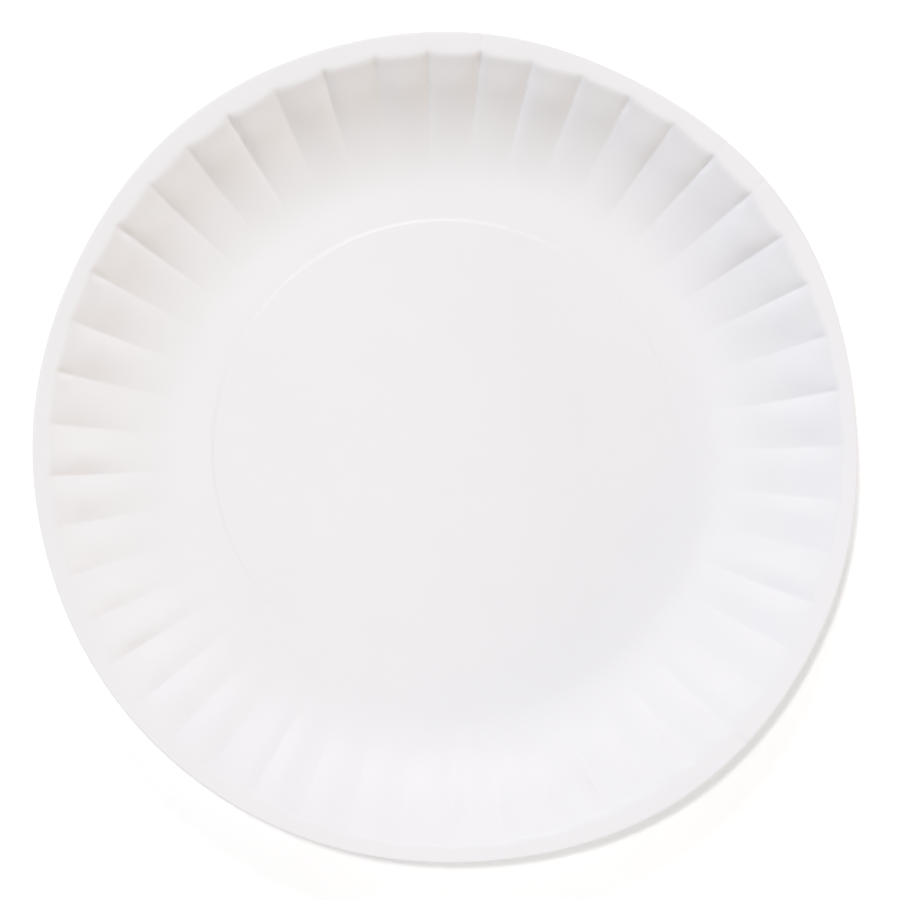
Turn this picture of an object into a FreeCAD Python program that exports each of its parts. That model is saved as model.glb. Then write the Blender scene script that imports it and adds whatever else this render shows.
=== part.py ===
import FreeCAD, Part
import math
import os

import Sketcher

# A round paper plate, stamped from one disc of paperboard. Its sheet has one thickness everywhere.
# From the middle outwards it is a flat centre panel, a small pressed step down, a flat band that the
# plate stands on, a curved foot, a steep wall of flutes and a level rim.
# The origin is the middle of the underside, on the table. X and Y lie on the table, and Z points up.
# All lengths are in millimetres and all angles in degrees.

# Each row is a size's name, its value and what it measures.
SIZES = [
    ("plate_dia", 152.4, "across the rim's cut edge"),
    ("board", 0.4, "thickness of the sheet"),
    ("rim_height", 12.4, "from the table to the underside of the rim"),
    ("rim_width", 3.1, "level rim outside a flute's valley"),
    ("wall_slope", 43.0, "steepest slope of the wall, from level"),
    ("valley_foot", 28.6, "radius of the curved foot in a flute's valley"),
    ("flute_depth", 1.0, "from valley to crest, square to the wall"),
    ("flute_count", 48, "flutes round the wall"),
    ("crest_share", 0.4, "the flat crest's part of a flute's width"),
    ("rest_band", 5.7, "from the middle of the pressed step to the wall's foot"),
    ("panel_lift", 0.2, "how far the centre panel is raised"),
    ("step_run", 1.2, "width of the slope between panel and band"),
]
SHEET = "sizes"
FULL_TURN = 360.0


def wall_run(foot):
    """Formula for how far the wall reaches outwards, from a foot of the given radius to the rim."""
    curved = foot + " * sin(sizes.wall_slope)"
    climb = "(sizes.rim_height - " + foot + " * (1 - cos(sizes.wall_slope)))"
    return "({} + {} / tan(sizes.wall_slope))".format(curved, climb)


# Places that follow from the sizes, as formulas of the sheet's cells. Each flute lies between two
# upright planes through its valleys, and meets one straight side of the base.
VALLEY_ANGLE = "180 / sizes.flute_count"
CREST_ANGLE = "180 / sizes.flute_count * sizes.crest_share"
VALLEY_FOOT = "sizes.valley_foot"
CREST_FOOT = "(sizes.valley_foot - sizes.flute_depth / (1 - cos(sizes.wall_slope)))"
PLATE_RADIUS = "sizes.plate_dia / 2"
RIM_START = "({} - sizes.rim_width)".format(PLATE_RADIUS)
BASE_CORNER = "({} - {})".format(RIM_START, wall_run(VALLEY_FOOT))
BASE_SIDE = "({} * cos({}))".format(BASE_CORNER, VALLEY_ANGLE)
STEP_MIDDLE = "({} - sizes.rest_band)".format(BASE_SIDE)

# Each flute has its own strip of rim, which ends halfway across the rim. The rim's round ring starts
# inside that, so the two lap over each other.
STRIP_REACH = "({} - sizes.rim_width / 2)".format(PLATE_RADIUS)
RING_START = "({} - sizes.rim_width * 3 / 4)".format(PLATE_RADIUS)

# How sketches name the points of an edge, the sheet's own origin and its two axes.
BEGIN, END, CENTRE = 1, 2, 3
ROOT, UPRIGHT_AXIS = -1, -2


def add_sheet(doc):
    """The spreadsheet of driving sizes: a plain number in column B, named by its alias."""
    sheet = doc.addObject("Spreadsheet::Sheet", SHEET)
    for row, (name, value, meaning) in enumerate(SIZES, start=1):
        sheet.set("A{}".format(row), name)
        sheet.set("B{}".format(row), str(value))
        sheet.set("C{}".format(row), meaning)
        sheet.setAlias("B{}".format(row), name)
    doc.recompute()
    return sheet


def solve(body, formula):
    """The number that a formula of the sheet gives now."""
    return float(body.evalExpression(formula))


def origin_feature(body, role):
    """One of the body's own base planes or axes."""
    return next(item for item in body.Origin.OriginFeatures if item.Role == role)


def add_sketch(body, name, side=0, angle=None):
    """A sketch on the upright XZ plane, so that its x is the radius and its y is the height.

    A side of 1 or -1 turns the plane about the plate's axis, one way or the other by a formula's angle.
    """
    sketch = body.newObject("Sketcher::SketchObject", name)
    sketch.AttachmentSupport = [(origin_feature(body, "XZ_Plane"), "")]
    sketch.MapMode = "FlatFace"
    if side:
        turn = FreeCAD.Rotation(FreeCAD.Vector(0, side, 0), solve(body, angle))
        sketch.AttachmentOffset = FreeCAD.Placement(FreeCAD.Vector(), turn)
        sketch.setExpression("AttachmentOffset.Rotation.Angle", angle)
    return sketch


def fix(sketch, kind, *picked):
    """Adds a constraint that has no size."""
    sketch.addConstraint(Sketcher.Constraint(kind, *picked))


def bind(body, sketch, name, formula, kind, *picked):
    """Adds a named constraint whose size follows the sheet."""
    value = solve(body, formula)
    if kind == "Angle":
        value = math.radians(value)
    index = sketch.addConstraint(Sketcher.Constraint(kind, *picked, value))
    sketch.renameConstraint(index, name)
    sketch.setExpression("Constraints." + name, formula)


def add_arc(sketch, centre, radius, first, last):
    """An arc between two angles in degrees, counter-clockwise."""
    circle = Part.Circle(FreeCAD.Vector(*centre, 0), FreeCAD.Vector(0, 0, 1), radius)
    return sketch.addGeometry(Part.ArcOfCircle(circle, math.radians(first), math.radians(last)))


def add_line(sketch, first, last):
    return sketch.addGeometry(Part.LineSegment(FreeCAD.Vector(*first, 0), FreeCAD.Vector(*last, 0)))


def on_arc(centre, radius, angle):
    turn = math.radians(angle)
    return centre[0] + radius * math.cos(turn), centre[1] + radius * math.sin(turn)


def add_polygon(sketch, corners):
    """Straight edges round the corners, joined end to end."""
    following = corners[1:] + corners[:1]
    edges = [add_line(sketch, first, last) for first, last in zip(corners, following)]
    for edge, after in zip(edges, edges[1:] + edges[:1]):
        fix(sketch, "Coincident", edge, END, after, BEGIN)
    return edges


def add_wall_section(body, name, side, angle, foot):
    """The fluted wall's closed section on one upright plane, from the base to the rim.

    angle and foot are formulas: the plane's angle from the middle of the flute, and the underside's
    radius in the curved foot. The two sides are parallel, and the foot's two arcs share a centre. At
    the rim the upper side folds level a little inside the underside, so it ends in a short lip.
    """
    board = solve(body, "sizes.board")
    slope = solve(body, "sizes.wall_slope")
    height = solve(body, "sizes.rim_height")
    low = solve(body, foot)
    start = BASE_SIDE + " / cos(" + angle + ")"
    centre = (solve(body, start), low)
    fold = centre[0] + solve(body, wall_run(foot))
    lip_end = fold - board * math.tan(math.radians(slope / 2))
    top = height + board
    down = -90
    foot_end = down + slope

    sketch = add_sketch(body, name, side, angle)
    under_foot = add_arc(sketch, centre, low, down, foot_end)
    under_wall = add_line(sketch, on_arc(centre, low, foot_end), (fold, height))
    outer_end = add_line(sketch, (fold, height), (fold, top))
    lip = add_line(sketch, (fold, top), (lip_end, top))
    upper_wall = add_line(sketch, (lip_end, top), on_arc(centre, low - board, foot_end))
    upper_foot = add_arc(sketch, centre, low - board, down, foot_end)
    inner_end = add_line(sketch, (centre[0], board), (centre[0], 0))

    fix(sketch, "Tangent", under_foot, END, under_wall, BEGIN)
    fix(sketch, "Tangent", upper_wall, END, upper_foot, END)
    fix(sketch, "Coincident", under_wall, END, outer_end, BEGIN)
    fix(sketch, "Coincident", outer_end, END, lip, BEGIN)
    fix(sketch, "Coincident", lip, END, upper_wall, BEGIN)
    fix(sketch, "Coincident", upper_foot, BEGIN, inner_end, BEGIN)
    fix(sketch, "Coincident", inner_end, END, under_foot, BEGIN)
    fix(sketch, "Coincident", upper_foot, CENTRE, under_foot, CENTRE)
    fix(sketch, "Parallel", under_wall, upper_wall)
    fix(sketch, "Horizontal", lip)
    fix(sketch, "Vertical", outer_end)
    fix(sketch, "Vertical", inner_end)
    fix(sketch, "Vertical", under_foot, BEGIN, under_foot, CENTRE)
    bind(body, sketch, "foot_under", foot, "Radius", under_foot)
    bind(body, sketch, "foot_upper", foot + " - sizes.board", "Radius", upper_foot)
    bind(body, sketch, "wall_start", start, "DistanceX", ROOT, BEGIN, under_foot, CENTRE)
    bind(body, sketch, "centre_height", foot, "DistanceY", ROOT, BEGIN, under_foot, CENTRE)
    bind(body, sketch, "slope", "sizes.wall_slope", "Angle", under_wall)
    bind(body, sketch, "rim_under", "sizes.rim_height", "DistanceY", ROOT, BEGIN, outer_end, BEGIN)
    bind(body, sketch, "thickness", "sizes.board", "DistanceY", outer_end, BEGIN, outer_end, END)
    return sketch


def add_panel_section(body, name, level=None):
    """Half of the section of the raised centre panel, with the slope of its pressed step.

    level is the formula of its height, or nothing when it lies on the table.
    """
    low = solve(body, level) if level else 0
    high = low + solve(body, "sizes.panel_lift")
    step_outside = STEP_MIDDLE + " + sizes.step_run / 2"
    step_inside = STEP_MIDDLE + " - sizes.step_run / 2"
    outside = solve(body, step_outside)
    inside = solve(body, step_inside)
    sketch = add_sketch(body, name)
    corners = [(0, low), (outside, low), (inside, high), (0, high)]
    bottom, slope, lid, axis = add_polygon(sketch, corners)
    fix(sketch, "Horizontal", bottom)
    fix(sketch, "Horizontal", lid)
    fix(sketch, "PointOnObject", lid, END, UPRIGHT_AXIS)
    if level:
        fix(sketch, "PointOnObject", bottom, BEGIN, UPRIGHT_AXIS)
        bind(body, sketch, "level", level, "DistanceY", ROOT, BEGIN, bottom, BEGIN)
    else:
        fix(sketch, "Coincident", bottom, BEGIN, ROOT, BEGIN)
    bind(body, sketch, "lift", "sizes.panel_lift", "DistanceY", slope, BEGIN, slope, END)
    bind(body, sketch, "step_outside", step_outside, "DistanceX", axis, END, slope, BEGIN)
    bind(body, sketch, "step_inside", step_inside, "DistanceX", axis, BEGIN, slope, END)
    return sketch


def add_base(body):
    """The flat base: a disc whose many short sides each meet the foot of one flute."""
    base = body.newObject("PartDesign::AdditivePrism", "base")
    base.AttachmentSupport = [(origin_feature(body, "XY_Plane"), "")]
    base.MapMode = "FlatFace"
    turn = FreeCAD.Rotation(FreeCAD.Vector(0, 0, 1), solve(body, VALLEY_ANGLE))
    base.AttachmentOffset = FreeCAD.Placement(FreeCAD.Vector(), turn)
    base.setExpression("AttachmentOffset.Rotation.Angle", VALLEY_ANGLE)
    base.setExpression("Polygon", "sizes.flute_count")
    base.setExpression("Circumradius", BASE_CORNER)
    base.setExpression("Height", "sizes.board")


def add_turned(body, kind, name, sketch):
    """A sketch turned once round the plate's axis, which adds or removes material."""
    turned = body.newObject(kind, name)
    turned.Profile = sketch
    turned.ReferenceAxis = (sketch, ["V_Axis"])
    turned.Angle = FULL_TURN
    return turned


def add_panel(body):
    """The centre panel, raised by a pressed step and hollow by as much underneath."""
    raised = add_panel_section(body, "panel_top", "sizes.board")
    add_turned(body, "PartDesign::Revolution", "panel", raised)
    hollow = add_panel_section(body, "panel_under")
    add_turned(body, "PartDesign::Groove", "panel_hollow", hollow)


def add_flute(body):
    """One flute of the wall, from a sharp valley over a broad crest to the next valley."""
    sections = [
        add_wall_section(body, "valley_before", -1, VALLEY_ANGLE, VALLEY_FOOT),
        add_wall_section(body, "crest_before", -1, CREST_ANGLE, CREST_FOOT),
        add_wall_section(body, "crest_after", 1, CREST_ANGLE, CREST_FOOT),
        add_wall_section(body, "valley_after", 1, VALLEY_ANGLE, VALLEY_FOOT),
    ]
    flute = body.newObject("PartDesign::AdditiveLoft", "flute")
    flute.Profile = sections[0]
    flute.Sections = sections[1:]
    flute.Ruled = True
    flute.Closed = False
    return flute


def add_rim_strip(body):
    """One flute's own strip of the level rim. Its inner side follows the top of the flute."""
    crest_top = "({} / cos({}) + {})".format(BASE_SIDE, CREST_ANGLE, wall_run(CREST_FOOT))
    places = [(crest_top, CREST_ANGLE), (RIM_START, VALLEY_ANGLE), (STRIP_REACH, VALLEY_ANGLE)]
    formulas = []
    for radius, angle in places:
        formulas.append(("{} * cos({})".format(radius, angle), "{} * sin({})".format(radius, angle)))
    after = [(solve(body, along), solve(body, across)) for along, across in formulas]
    before = [(along, -across) for along, across in reversed(after)]

    sketch = body.newObject("Sketcher::SketchObject", "rim_strip_outline")
    sketch.AttachmentSupport = [(origin_feature(body, "XY_Plane"), "")]
    sketch.MapMode = "FlatFace"
    height = FreeCAD.Vector(0, 0, solve(body, "sizes.rim_height"))
    sketch.AttachmentOffset = FreeCAD.Placement(height, FreeCAD.Rotation())
    sketch.setExpression("AttachmentOffset.Base.z", "sizes.rim_height")
    edges = add_polygon(sketch, after + before)
    for number, (along, across) in enumerate(formulas):
        edge, mirrored = edges[number], edges[-1 - number]
        bind(body, sketch, "along_{}".format(number), along, "DistanceX", ROOT, BEGIN, edge, BEGIN)
        bind(body, sketch, "across_{}".format(number), across, "DistanceY", ROOT, BEGIN, edge, BEGIN)
        fix(sketch, "Symmetric", edge, BEGIN, mirrored, BEGIN, ROOT)

    strip = body.newObject("PartDesign::Pad", "rim_strip")
    strip.Profile = sketch
    strip.setExpression("Length", "sizes.board")
    return strip


def add_flutes(body):
    """One flute and its strip of rim, repeated round the plate."""
    one_flute = [add_flute(body), add_rim_strip(body)]
    flutes = body.newObject("PartDesign::PolarPattern", "flutes")
    flutes.Originals = one_flute
    flutes.Axis = (origin_feature(body, "Z_Axis"), [""])
    flutes.Angle = FULL_TURN
    flutes.setExpression("Occurrences", "sizes.flute_count")
    body.Tip = flutes


def add_rim(body):
    """The round outer ring of the rim, up to the plate's cut edge."""
    inside = solve(body, RING_START)
    outside = solve(body, PLATE_RADIUS)
    under = solve(body, "sizes.rim_height")
    upper = under + solve(body, "sizes.board")
    corners = [(inside, under), (outside, under), (outside, upper), (inside, upper)]
    sketch = add_sketch(body, "rim_section")
    bottom, cut_edge, top, inner_side = add_polygon(sketch, corners)
    fix(sketch, "Horizontal", bottom)
    fix(sketch, "Horizontal", top)
    fix(sketch, "Vertical", cut_edge)
    fix(sketch, "Vertical", inner_side)
    bind(body, sketch, "ring_start", RING_START, "DistanceX", ROOT, BEGIN, bottom, BEGIN)
    bind(body, sketch, "plate_radius", PLATE_RADIUS, "DistanceX", ROOT, BEGIN, bottom, END)
    bind(body, sketch, "rim_under", "sizes.rim_height", "DistanceY", ROOT, BEGIN, bottom, END)
    bind(body, sketch, "thickness", "sizes.board", "DistanceY", cut_edge, BEGIN, cut_edge, END)
    rim = add_turned(body, "PartDesign::Revolution", "rim", sketch)
    rim.Refine = True
    body.Tip = rim


def make_plate(doc):
    """The whole sheet as one body."""
    body = doc.addObject("PartDesign::Body", "plate")
    body.Label = "plate"
    body.Placement = FreeCAD.Placement()
    doc.recompute()
    add_base(body)
    add_panel(body)
    add_flutes(body)
    add_rim(body)
    return body


def check(doc, parts):
    """Stops with a plain message if any object failed or any part is not one sound solid."""
    for item in doc.Objects:
        if "Invalid" in item.State or "Error" in item.State:
            raise RuntimeError("{} failed: {}".format(item.Name, item.State))
    for part in parts:
        if part.Shape.isNull() or not part.Shape.isValid():
            raise RuntimeError("{} has no sound shape".format(part.Label))
        if len(part.Shape.Solids) != 1:
            raise RuntimeError("{} is not one solid".format(part.Label))


def main():
    doc = FreeCAD.newDocument("paper_plate")
    add_sheet(doc)
    parts = [make_plate(doc)]
    doc.recompute()
    check(doc, parts)
    os.makedirs("parts", exist_ok=True)
    for part in parts:
        part.Shape.exportStep("parts/{}.step".format(part.Label))
        size = part.Shape.BoundBox
        print(part.Label, "across", round(size.XLength, 3), "tall", round(size.ZLength, 3))


main()
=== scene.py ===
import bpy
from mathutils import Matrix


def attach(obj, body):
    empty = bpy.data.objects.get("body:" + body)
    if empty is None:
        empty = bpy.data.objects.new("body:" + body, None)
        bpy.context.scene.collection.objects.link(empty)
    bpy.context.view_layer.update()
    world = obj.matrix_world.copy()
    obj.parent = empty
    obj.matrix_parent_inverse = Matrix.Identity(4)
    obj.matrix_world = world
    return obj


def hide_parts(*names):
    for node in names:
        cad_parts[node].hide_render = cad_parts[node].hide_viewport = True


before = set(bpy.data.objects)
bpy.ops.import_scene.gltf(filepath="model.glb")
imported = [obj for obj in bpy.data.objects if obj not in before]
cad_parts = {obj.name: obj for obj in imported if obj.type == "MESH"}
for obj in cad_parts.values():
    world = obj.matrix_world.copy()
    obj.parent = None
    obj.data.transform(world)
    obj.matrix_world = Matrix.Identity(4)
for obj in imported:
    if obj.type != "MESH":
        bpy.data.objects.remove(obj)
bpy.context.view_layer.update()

import ast
import math

import bpy
from mathutils import Matrix, Vector

# Every length is in millimetres until the end, and this turns it to metres.
MM = 0.001
DEGREE = math.pi / 180

# The shape of the sheet. The names follow the real plate from its middle outwards.
PLATE = {
    "Board": 0.4,
    "Ring Radius": 42.8,
    "Ring Width": 0.75,
    "Ring Lift": 0.36,
    "Foot Start": 48.4,
    "Valley Foot": 28.6,
    "Wall Slope": 43 * DEGREE,
    "Flutes": 48.0,
    "Flute Depth": 0.85,
    "Flute Sharpness": 2.8,
    "Flute Fade": 0.62,
    "Fade Start": 66.5,
    "Crease Depth": 0.9,
    "Crease Radius": 71.0,
    "Crease Length": 1.6,
    "Rim Height": 12.4,
    "Rim Bend": 0.8,
    "Rim Fold": 71.6,
    "Rim Fall": 0.12,
    "Mark Depth": 0.16,
    "Mark Start": 73.4,
    "Mark Run": 1.2,
    "Plate Radius": 75.75,
}
FLUTE_STEPS = 14
SEED = 7

# How many rings of faces each stretch of the sheet gets, and the radius where it ends.
RING_ZONES = [
    (3, 36.0), (2, 42.1), (11, 43.5), (3, 48.2),
    (20, 66.0), (10, 71.0), (12, 74.0), (4, PLATE["Plate Radius"]),
]
SIDE_RINGS = sum(count for count, radius in RING_ZONES)
CUT_EDGE_STEPS = 4

# Slow changes round the plate, each as a size, a number of waves and a lead in degrees.
EDGE_WAVES = [
    (0.20, 1, -52.0),
    (0.435, 2, 135.8),
    (0.180, 3, 137.4),
    (0.407, 4, -152.7),
    (0.182, 5, -156.0),
    (0.135, 7, 122.4),
    (0.129, 8, 71.5),
]
PITCH_WAVES = [
    (1.78, 1, -134.6),
    (0.20, 2, -21.0),
    (0.62, 3, -151.6),
    (0.45, 4, -86.4),
]


def linear(code):
    """An sRGB hex colour as the linear values that Blender works in."""
    levels = [int(code[place:place + 2], 16) / 255 for place in (1, 3, 5)]
    return tuple(v / 12.92 if v <= 0.04045 else ((v + 0.055) / 1.055) ** 2.4 for v in levels)


def add_node(tree, kind, settings=None, links=None):
    """Adds a node. settings are its own choices, and links are its inputs, each a value or an output."""
    node = tree.nodes.new(kind)
    for name, value in (settings or {}).items():
        setattr(node, name, value)
    for name, value in (links or {}).items():
        if isinstance(value, bpy.types.NodeSocket):
            tree.links.new(value, node.inputs[name])
        else:
            node.inputs[name].default_value = value
    return node


OPERATIONS = {ast.Add: "ADD", ast.Sub: "SUBTRACT", ast.Mult: "MULTIPLY", ast.Div: "DIVIDE", ast.Pow: "POWER"}
FUNCTIONS = {
    "abs": "ABSOLUTE",
    "cos": "COSINE",
    "floor": "FLOOR",
    "max": "MAXIMUM",
    "min": "MINIMUM",
    "mod": "FLOORED_MODULO",
    "round": "ROUND",
    "sign": "SIGN",
    "sin": "SINE",
    "smooth_min": "SMOOTH_MIN",
    "sqrt": "SQRT",
    "tan": "TANGENT",
    "exp": "EXPONENT",
}


def add_formula(tree, text, values):
    """Adds the Math nodes of a formula. values holds the numbers and outputs that it names."""

    def build(item):
        if isinstance(item, ast.Constant):
            return float(item.value)
        if isinstance(item, ast.Name):
            return values[item.id]
        if isinstance(item, ast.UnaryOp):
            return join("MULTIPLY", [-1.0, build(item.operand)])
        if isinstance(item, ast.BinOp):
            return join(OPERATIONS[type(item.op)], [build(item.left), build(item.right)])
        return join(FUNCTIONS[item.func.id], [build(value) for value in item.args])

    def join(operation, parts):
        node = add_node(tree, "ShaderNodeMath", {"operation": operation}, dict(enumerate(parts)))
        return node.outputs[0]

    return build(ast.parse(text).body[0].value)


def waves(rows, turn):
    """The formula that adds up slow waves of an angle in radians."""
    return " + ".join("{} * cos({} * {} + {:.4f})".format(size, count, turn, lead * DEGREE)
                      for size, count, lead in rows)


# The plate's rule, one value a row. It starts from a flat grid, whose x runs along the section, from the
# middle of the underside out to the cut edge and back over the upper side, and whose y runs round.
PLATE_RULE = [
    # Where the point lies between two valleys: phase is 0 on a crest, and a half in a valley.
    ("flute", "(grid_y + 0.5) * flutes"),
    ("number", "floor(flute)"),
    ("place", "flute - number - 0.5"),
    ("phase", "sign(place) * (1 - max(1 - 2 * abs(place), 0) ** 1.5) / 2"),
    ("even", "(number + 0.5 + phase) / flutes * tau"),
    ("angle", "even + (2.07 + {}) * degree".format(waves(PITCH_WAVES, "even"))),
    # Which side of the sheet it is on: upper runs from 0 underneath to 1 on top, over the cut edge.
    ("across", "min(max(grid_x / edge_share, -1), 1)"),
    ("upper", "0.5 + 0.5 * sign(across) * abs(across) ** 0.4"),
    # The flute leans to one side, and grows shallow towards the rim.
    ("leaning", "phase + own_lean * (0.25 - phase * phase)"),
    ("fading", "min(max((radius - fade_start) / (rim_fold - fade_start), 0), 1)"),
    ("faded", "1 - flute_fade * fading * fading * (3 - 2 * fading)"),
    # Its form: folded sharply at the valleys in the upper half, and worn rounder in the lower half.
    ("rounded", "0.5 + 0.5 * cos(leaning * tau)"),
    ("folded", "1 - abs(2 * leaning) ** sharpness"),
    ("worn", "0.38 - 0.38 * sin(angle)"),
    ("wave", "(folded + worn * (rounded - folded)) * (1.06 - 0.06 * worn) * faded"),
    # The section through the flute: level, then an arc, then a straight wall.
    ("foot", "valley_foot - flute_depth * own_depth * wave / (1 - cos(slope))"),
    ("arc", "foot - board * upper"),
    ("run", "max(radius - foot_start, 0)"),
    ("bent", "min(run, arc * sin(slope))"),
    ("dish", "foot - sqrt(arc * arc - bent * bent) + (run - bent) * tan(slope)"),
    # The pinched crease at the top of each valley, mostly in the upper half.
    ("crease_round", "exp(0 - ((0.5 - abs(phase)) / 0.06) ** 2)"),
    ("crease_along", "exp(0 - ((radius - crease_radius) / crease_length) ** 2)"),
    ("pinch", "crease_depth * own_crease * (0.5 + 0.5 * sin(angle))"),
    ("creased", "dish - pinch * crease_round * crease_along"),
    # The rim falls a little inwards, short marks cross it, and the wall bends over into it.
    ("mark_round", "exp(0 - ((0.5 - abs(phase)) / 0.025) ** 2)"),
    ("mark_along", "min(max((radius - mark_start) / mark_run, 0), 1)"),
    ("mark", "max(own_mark * 3 - 2, 0) * mark_round * mark_along"),
    ("rim", "rim_height + board * upper - (plate_radius - radius) * rim_fall - mark_depth * mark"),
    ("walled", "smooth_min(creased, rim, rim_bend)"),
    # The pressed ring. Its step is highest on one side, because the middle lies a touch aslant.
    ("leant", "max(0.5 + 0.5 * cos(angle - 2), 0) ** 2.2"),
    ("inland", "min(radius / ring_radius, 1)"),
    ("aslant", "0.4 + (leant - 0.4) * inland * inland"),
    ("stepped", "min(max((ring_radius - radius) / ring_width + 0.5, 0), 1)"),
    ("pressed", "ring_lift * aslant * stepped * stepped * (3 - 2 * stepped)"),
    ("height", "walled + pressed"),
    # The cut edge isn't quite round, and only the rim follows it. Its corners are a little soft.
    ("edge_shift", waves(EDGE_WAVES, "angle")),
    ("on_rim", "max(radius - rim_fold, 0) / (plate_radius - rim_fold)"),
    ("softened", "max(abs(across) - 0.5, 0) * 0.1"),
    ("reach", "radius + (edge_shift - softened) * on_rim"),
    ("x", "reach * cos(angle) * mm"),
    ("y", "reach * sin(angle) * mm"),
    ("z", "height * mm"),
]


def add_ring_curve(tree, along):
    """Spaces the rings: a curve from the share of rings to the radius, as a share of the plate's."""
    node = add_node(tree, "ShaderNodeFloatCurve", None, {"Value": along})
    curve = node.mapping.curves[0]
    counted = 0
    outside = RING_ZONES[-1][1]
    curve.points[0].location = (0, 0)
    curve.points[1].location = (1, 1)
    for count, radius in RING_ZONES[:-1]:
        counted += count
        curve.points.new(counted / SIDE_RINGS, radius / outside)
    for point in curve.points:
        point.handle_type = "VECTOR"
    node.mapping.update()
    return node.outputs["Value"]


def plate_tree(board_material):
    """The Geometry Nodes tree that bends a flat grid into the whole sheet of the plate."""
    tree = bpy.data.node_groups.new("plate_sheet", "GeometryNodeTree")
    for name, value in PLATE.items():
        socket = tree.interface.new_socket(name, in_out="INPUT", socket_type="NodeSocketFloat")
        socket.default_value = value
    tree.interface.new_socket("Seed", in_out="INPUT", socket_type="NodeSocketInt")
    tree.interface.new_socket("Plate", in_out="OUTPUT", socket_type="NodeSocketGeometry")
    sizes = add_node(tree, "NodeGroupInput").outputs

    flutes = int(PLATE["Flutes"])
    lengthwise = 2 * SIDE_RINGS + CUT_EDGE_STEPS
    grid = add_node(tree, "GeometryNodeMeshGrid", None, {
        "Size X": 1.0,
        "Size Y": 1.0,
        "Vertices X": lengthwise + 1,
        "Vertices Y": flutes * FLUTE_STEPS + 1,
    })
    spot = add_node(tree, "GeometryNodeInputPosition")
    axes = add_node(tree, "ShaderNodeSeparateXYZ", None, {0: spot.outputs[0]}).outputs

    values = {name.lower().replace(" ", "_"): sizes[name] for name in PLATE}
    values.update({
        "grid_x": axes["X"],
        "grid_y": axes["Y"],
        "slope": sizes["Wall Slope"],
        "sharpness": sizes["Flute Sharpness"],
        "edge_share": CUT_EDGE_STEPS / 2 / lengthwise,
        "side_share": SIDE_RINGS / lengthwise,
        "tau": math.tau,
        "degree": DEGREE,
        "mm": MM,
    })
    inwards = add_formula(tree, "max(abs(grid_x) - edge_share, 0) / side_share", values)
    outwards = add_formula(tree, "1 - inwards", {"inwards": inwards})
    share = add_ring_curve(tree, outwards)
    # The last factor closes the middle of either side to a point.
    values["radius"] = add_formula(
        tree, "share * plate_radius * min(outwards * 1000, 1)", {**values, "share": share, "outwards": outwards})

    for name, text in PLATE_RULE:
        # The chances need the flute's number, and the rows from here on need the chances.
        if name == "leaning":
            values.update(add_chances(tree, values, sizes["Seed"]))
        values[name] = add_formula(tree, text, values)

    pattern = add_node(tree, "ShaderNodeCombineXYZ", None, {"X": values["flute"], "Y": values["radius"]})
    mapped = add_node(tree, "GeometryNodeStoreNamedAttribute", {"data_type": "FLOAT2", "domain": "CORNER"}, {
        "Geometry": grid.outputs["Mesh"],
        "Name": "UVMap",
        "Value": pattern.outputs[0],
    })
    place = add_node(tree, "ShaderNodeCombineXYZ", None, {axis: values[axis.lower()] for axis in "XYZ"})
    bent = add_node(tree, "GeometryNodeSetPosition", None,
                    {"Geometry": mapped.outputs[0], "Position": place.outputs[0]})
    closed = add_node(tree, "GeometryNodeMergeByDistance", None, {"Geometry": bent.outputs[0], "Distance": 1e-6})
    outward = add_node(tree, "GeometryNodeFlipFaces", None, {"Mesh": closed.outputs[0]})
    smooth = add_node(tree, "GeometryNodeSetShadeSmooth", None, {"Geometry": outward.outputs[0]})
    real = add_node(tree, "GeometryNodeRealizeInstances", None, {"Geometry": smooth.outputs[0]})
    dressed = add_node(tree, "GeometryNodeSetMaterial", None,
                       {"Geometry": real.outputs[0], "Material": board_material})
    add_node(tree, "NodeGroupOutput", None, {"Plate": dressed.outputs[0]})
    return tree


def add_chances(tree, values, seed):
    """Each flute's depth and lean, and each valley's mark and crease, by chance but the same each time."""
    chances = {}
    for name, place, least, most in (("own_depth", "mod(number, flutes)", 0.6, 1.2),
                                     ("own_lean", "mod(number, flutes) + 300", -0.7, 0.7),
                                     ("own_mark", "mod(round(flute), flutes) + 200", 0, 1),
                                     ("own_crease", "mod(round(flute), flutes) + 100", 0.05, 1.0)):
        which = add_formula(tree, place, values)
        node = add_node(tree, "FunctionNodeRandomValue", {"data_type": "FLOAT"}, {"ID": which, "Seed": seed})
        limits = {"chance": node.outputs[1], "low": least, "high": most}
        chances[name] = add_formula(tree, "low + chance * (high - low)", limits)
    return chances


def paperboard():
    """Bleached paperboard with a thin clay coat, pressed between warm dies.

    The coat gives it a faint satin sheen on the flutes, and the fibres below it a very fine tooth.
    """
    material = bpy.data.materials.new("coated_paperboard")
    material.use_nodes = True
    tree = material.node_tree
    tree.nodes.clear()
    middle = add_node(tree, "ShaderNodeTexCoord").outputs["Object"]
    spot = add_node(tree, "ShaderNodeMapping", None, {"Vector": middle, "Location": (0.31, 0.17, 0.53)}).outputs[0]
    cloudy = add_node(tree, "ShaderNodeTexNoise", None, {"Vector": spot, "Scale": 60.0, "Detail": 3.0})
    fibres = add_node(tree, "ShaderNodeTexNoise", None, {"Vector": spot, "Scale": 1400.0, "Detail": 4.0})
    tint = add_node(tree, "ShaderNodeMix", {"data_type": "RGBA"}, {
        0: cloudy.outputs["Fac"],
        6: (*linear("#EFEDEF"), 1),
        7: (*linear("#F2F0F1"), 1),
    })
    bump = add_node(tree, "ShaderNodeBump", None,
                    {"Strength": 0.12, "Distance": 0.00005, "Height": fibres.outputs["Fac"]})
    surface = add_node(tree, "ShaderNodeBsdfPrincipled", None, {
        "Base Color": tint.outputs[2],
        "Roughness": 0.5,
        "IOR": 1.45,
        "Normal": bump.outputs["Normal"],
    })
    add_node(tree, "ShaderNodeOutputMaterial", None, {"Surface": surface.outputs[0]})
    return material


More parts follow.
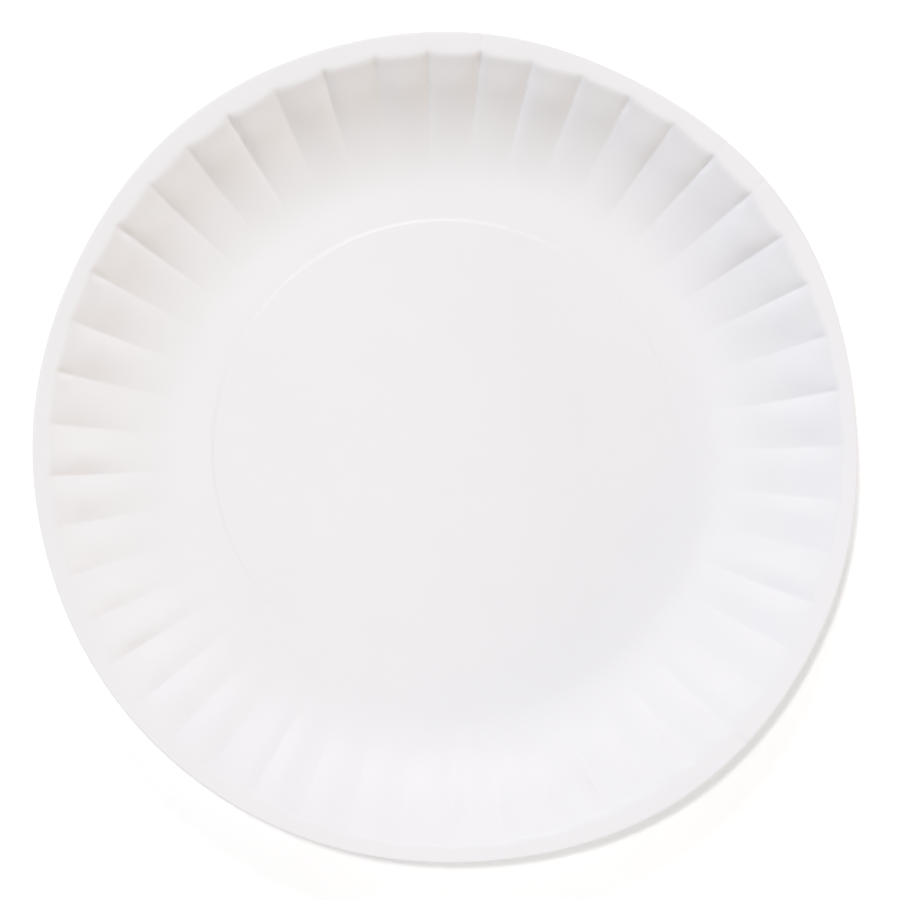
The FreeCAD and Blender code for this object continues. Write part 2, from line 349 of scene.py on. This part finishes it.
def make_plate():
    """The whole plate, made by its tree and turned into a plain mesh."""
    sheet = bpy.data.objects.new("plate_sheet", bpy.data.meshes.new("plate_sheet"))
    bpy.context.scene.collection.objects.link(sheet)
    board_material = paperboard()
    maker = sheet.modifiers.new("maker", "NODES")
    maker.node_group = plate_tree(board_material)
    for item in maker.node_group.interface.items_tree:
        if item.in_out == "INPUT":
            maker[item.identifier] = SEED if item.name == "Seed" else PLATE[item.name]
    bpy.context.view_layer.update()
    solid = sheet.evaluated_get(bpy.context.evaluated_depsgraph_get())
    mesh = bpy.data.meshes.new_from_object(solid)
    sheet.modifiers.remove(maker)
    sheet.data = mesh
    return sheet


def make_table():
    """The pale table of matt white laminate.

    To the eye it is plain white, with the plate's soft shadow on it.
    """
    mesh = bpy.data.meshes.new("table")
    # It lies a hair below the plate, so that their faces don't meet.
    reach = 3.0
    low = -0.2 * MM
    mesh.from_pydata([(-reach, -reach, low), (reach, -reach, low), (reach, reach, low), (-reach, reach, low)],
                     [], [(0, 1, 2, 3)])
    table = bpy.data.objects.new("table", mesh)
    bpy.context.scene.collection.objects.link(table)
    material = bpy.data.materials.new("matt_white_laminate")
    material.use_nodes = True
    tree = material.node_tree
    tree.nodes.clear()
    seen = add_node(tree, "ShaderNodeLightPath")
    matt = add_node(tree, "ShaderNodeBsdfDiffuse", None, {"Color": (*linear("#F9F9F9"), 1)})
    glow = add_node(tree, "ShaderNodeEmission", None, {"Strength": add_formula(
        tree, "seen * 0.28", {"seen": seen.outputs["Is Camera Ray"]})})
    both = add_node(tree, "ShaderNodeAddShader", None, {0: matt.outputs[0], 1: glow.outputs[0]})
    add_node(tree, "ShaderNodeOutputMaterial", None, {"Surface": both.outputs[0]})
    mesh.materials.append(material)


def direction(azimuth, elevation):
    """The way to a point of the sky. Azimuth is from the picture's right, counter-clockwise."""
    flat = math.cos(elevation * DEGREE)
    return Vector((flat * math.cos(azimuth * DEGREE), flat * math.sin(azimuth * DEGREE),
                   math.sin(elevation * DEGREE)))


def add_lamp(name, azimuth, elevation, share, size, code="#FFFFFF", distance=3.0):
    """A square lamp aimed at the plate. share is its part of the light on a level sheet."""
    lamp = bpy.data.lights.new(name, "AREA")
    lamp.shape = "SQUARE"
    lamp.size = size
    lamp.color = linear(code)
    lamp.energy = share * (math.pi * distance) ** 2 / math.sin(elevation * DEGREE)
    holder = bpy.data.objects.new(name, lamp)
    way = direction(azimuth, elevation)
    holder.matrix_world = Matrix.Translation(way * distance) @ way.to_track_quat("Z", "Y").to_matrix().to_4x4()
    bpy.context.scene.collection.objects.link(holder)


def light_scene():
    """Soft light from all round, a wide lamp from the picture's top, one overhead and three low ones.

    The one overhead gives the thin shadow. The low ones give the wall its warm and its cool side.
    """
    world = bpy.data.worlds.new("studio")
    bpy.context.scene.world = world
    world.use_nodes = True
    tree = world.node_tree
    tree.nodes.clear()
    # The camera and the reflections see plain white, and the sheet is lit by less.
    seen = add_node(tree, "ShaderNodeLightPath")
    level = add_formula(tree, "around + (1 - around) * min(camera + glossy, 1)", {
        "around": 0.46,
        "camera": seen.outputs["Is Camera Ray"],
        "glossy": seen.outputs["Is Glossy Ray"],
    })
    sky = add_node(tree, "ShaderNodeBackground", None, {"Strength": level})
    add_node(tree, "ShaderNodeOutputWorld", None, {"Surface": sky.outputs[0]})
    add_lamp("window", azimuth=95, elevation=44, share=0.22, size=0.75)
    add_lamp("overhead", azimuth=150, elevation=80.6, share=0.3, size=0.2)
    add_lamp("warm_side", azimuth=310, elevation=12, share=0.028, size=1.0, code="#FFDCA0")
    add_lamp("cool_side", azimuth=186, elevation=12, share=0.034, size=1.0, code="#E2EBFF")
    add_lamp("glint", azimuth=15, elevation=11, share=0.025, size=0.3, code="#F6F8FF")


def add_camera():
    """A long lens, a few degrees off straight down, with the table's +Y up in the picture."""
    lens = bpy.data.cameras.new("camera")
    lens.sensor_width = 36
    distance = 0.9
    picture_width = 900
    pixel_size = 0.18187 * MM
    lens.lens = lens.sensor_width * distance / (picture_width * pixel_size)
    camera = bpy.data.objects.new("camera", lens)
    aim = Vector((0.44, -0.33, 12.8)) * MM
    back = direction(azimuth=231, elevation=86.6)
    right = Vector((0, 1, 0)).cross(back).normalized()
    turned = Matrix((right, back.cross(right), back)).transposed().to_4x4()
    camera.matrix_world = Matrix.Translation(aim + back * distance) @ turned
    bpy.context.scene.collection.objects.link(camera)
    bpy.context.scene.camera = camera


plate = make_plate()
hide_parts("plate")
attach(plate, "root")
make_table()
light_scene()
add_camera()
bpy.context.scene.view_settings.view_transform = "Standard"
